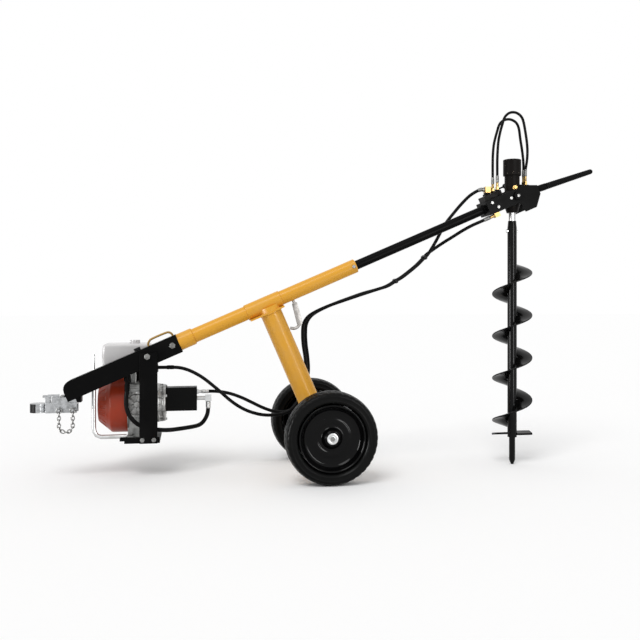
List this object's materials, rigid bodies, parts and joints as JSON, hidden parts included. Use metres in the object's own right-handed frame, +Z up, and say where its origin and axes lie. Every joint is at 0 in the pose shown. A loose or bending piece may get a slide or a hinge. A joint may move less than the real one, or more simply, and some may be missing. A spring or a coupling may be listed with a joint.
{
  "type": "towable hydraulic earth auger",
  "caption": "Two-wheeled towable earth auger: a tilted boom with an engine-driven hydraulic pump at the hitch end and a hydraulic motor turning a screw auger at the handle end.",
  "frame": {"origin": "on the ground under the middle of the machine, between the hitch nose and the handle tip", "axes": "+X from the hitch towards the handle, +Y across towards the engine side, +Z up"},
  "size_m": [2.7229, 0.693, 1.7502],
  "materials": {
    "tyre_rubber": "matte black",
    "wheel_black": "gloss",
    "bush_bronze": "machined",
    "zinc": "zinc plated",
    "boom_yellow": "semi-gloss",
    "bail_yellow": "worn",
    "hook_grey": "galvanised",
    "frame_black": "semi-gloss",
    "auger_black": "gloss",
    "steel": "machined",
    "engine_alloy": "cast",
    "pump_black": "black coated",
    "shroud_red": "semi-gloss",
    "tank_grey": "semi-gloss",
    "black_plastic": "moulded",
    "head_iron": "black painted",
    "fitting_brass": "plated",
    "hose_black": "satin"
  },
  "bodies": {
    "chassis": {"axle": "steel", "wheel_post": "boom_yellow", "boom_tube": "boom_yellow", "extension_tube": "frame_black", "hose_hook": "hook_grey", "drawbar": "frame_black", "lifting_bail": "bail_yellow", "coupler_body": "zinc", "hanger_bar": "frame_black", "engine_platform": "frame_black", "front_strut": "zinc", "frame_bolts": "zinc", "engine_block": "engine_alloy", "cylinder_head": "engine_alloy", "muffler": "steel", "air_cleaner": "black_plastic", "fan_shroud": "shroud_red", "fuel_tank": "tank_grey", "bell_housing": "engine_alloy", "pump_body": "pump_black", "pump_cover": "pump_black", "hose_fittings": "fitting_brass", "yoke": "frame_black", "handle_bar": "frame_black", "handle_grip": "hose_black", "valve_body": "head_iron", "return_hose": "hose_black", "pressure_hose": "hose_black", "suction_hose": "hose_black", "front_loop_hose": "hose_black", "rear_loop_hose": "hose_black", "hose_ties": "black_plastic"},
    "near_wheel": {"near_tyre": "tyre_rubber", "near_rim": "wheel_black", "near_bushes": "bush_bronze", "near_hub_cap": "zinc"},
    "far_wheel": {"far_tyre": "tyre_rubber", "far_rim": "wheel_black", "far_bushes": "bush_bronze", "far_hub_cap": "zinc"},
    "oil_cap": {"oil_cap": "black_plastic"},
    "coupler_lever": {"coupler_lever": "zinc"},
    "safety_chain": {"safety_chain": "steel"},
    "fuel_cap": {"fuel_cap": "tank_grey"},
    "throttle_lever": {"throttle_lever": "black_plastic"},
    "crank": {"crankshaft": "steel", "flywheel": "engine_alloy", "drive_gear": "steel"},
    "idler": {"driven_gear": "steel"},
    "valve_lever": {"valve_lever": "head_iron"},
    "head": {"head_block": "head_iron", "head_bearing": "steel", "motor_body": "head_iron", "motor_cap": "head_iron", "motor_fittings": "fitting_brass"},
    "auger": {"motor_shaft": "steel", "auger_stem": "auger_black", "auger_pin": "steel", "auger_flight": "auger_black", "cutting_head": "auger_black"}
  },
  "joints": [
    {"name": "near_wheel_spin", "type": "hinge", "parent": "chassis", "child": "near_wheel", "pos_m": [-0.03346, -0.2925, 0.207], "axis": [0, 1, 0], "continuous": true},
    {"name": "far_wheel_spin", "type": "hinge", "parent": "chassis", "child": "far_wheel", "pos_m": [-0.03346, 0.2925, 0.207], "axis": [0, 1, 0], "continuous": true},
    {"name": "head_swing", "type": "hinge", "parent": "chassis", "child": "head", "pos_m": [0.9331, 0, 1.3248], "axis": [0, 1, 0], "range_deg": [-12, 15], "deforming": ["front_loop_hose", "rear_loop_hose"]},
    {"name": "auger_spin", "type": "hinge", "parent": "head", "child": "auger", "pos_m": [0.9331, 0, 1], "axis": [0, 0, 1], "continuous": true},
    {"name": "valve_lever_swing", "type": "hinge", "parent": "chassis", "child": "valve_lever", "pos_m": [0.81199, 0.05, 1.33777], "axis": [-0.3971, 0, 0.9178], "range_deg": [-6, 16]},
    {"name": "coupler_latch", "type": "hinge", "parent": "chassis", "child": "coupler_lever", "pos_m": [-1.28346, 0, 0.37079], "axis": [0, 1, 0], "range_deg": [-55, 0]},
    {"name": "chain_swing", "type": "hinge", "parent": "chassis", "child": "safety_chain", "pos_m": [-1.19846, -0.051, 0.32079], "axis": [1, 0, 0], "range_deg": [-14, 10]},
    {"name": "fuel_cap_turn", "type": "hinge", "parent": "chassis", "child": "fuel_cap", "pos_m": [-0.90846, 0.15, 0.608], "axis": [0, 0, 1], "continuous": true},
    {"name": "oil_cap_turn", "type": "hinge", "parent": "chassis", "child": "oil_cap", "pos_m": [-0.88618, 0, 0.58112], "axis": [-0.3971, 0, 0.9178], "continuous": true},
    {"name": "throttle", "type": "hinge", "parent": "chassis", "child": "throttle_lever", "pos_m": [-0.83346, 0.06, 0.398], "axis": [0, 1, 0], "range_deg": [-20, 25]},
    {"name": "crank_spin", "type": "hinge", "parent": "chassis", "child": "crank", "pos_m": [-0.88346, 0.15, 0.322], "axis": [1, 0, 0], "continuous": true},
    {"name": "idler_spin", "type": "hinge", "parent": "chassis", "child": "idler", "pos_m": [-0.67346, 0.15, 0.36], "axis": [1, 0, 0], "continuous": true}
  ],
  "couplings": [
    {"joint": "idler_spin", "follows": "crank_spin", "ratio": -1}
  ]
}
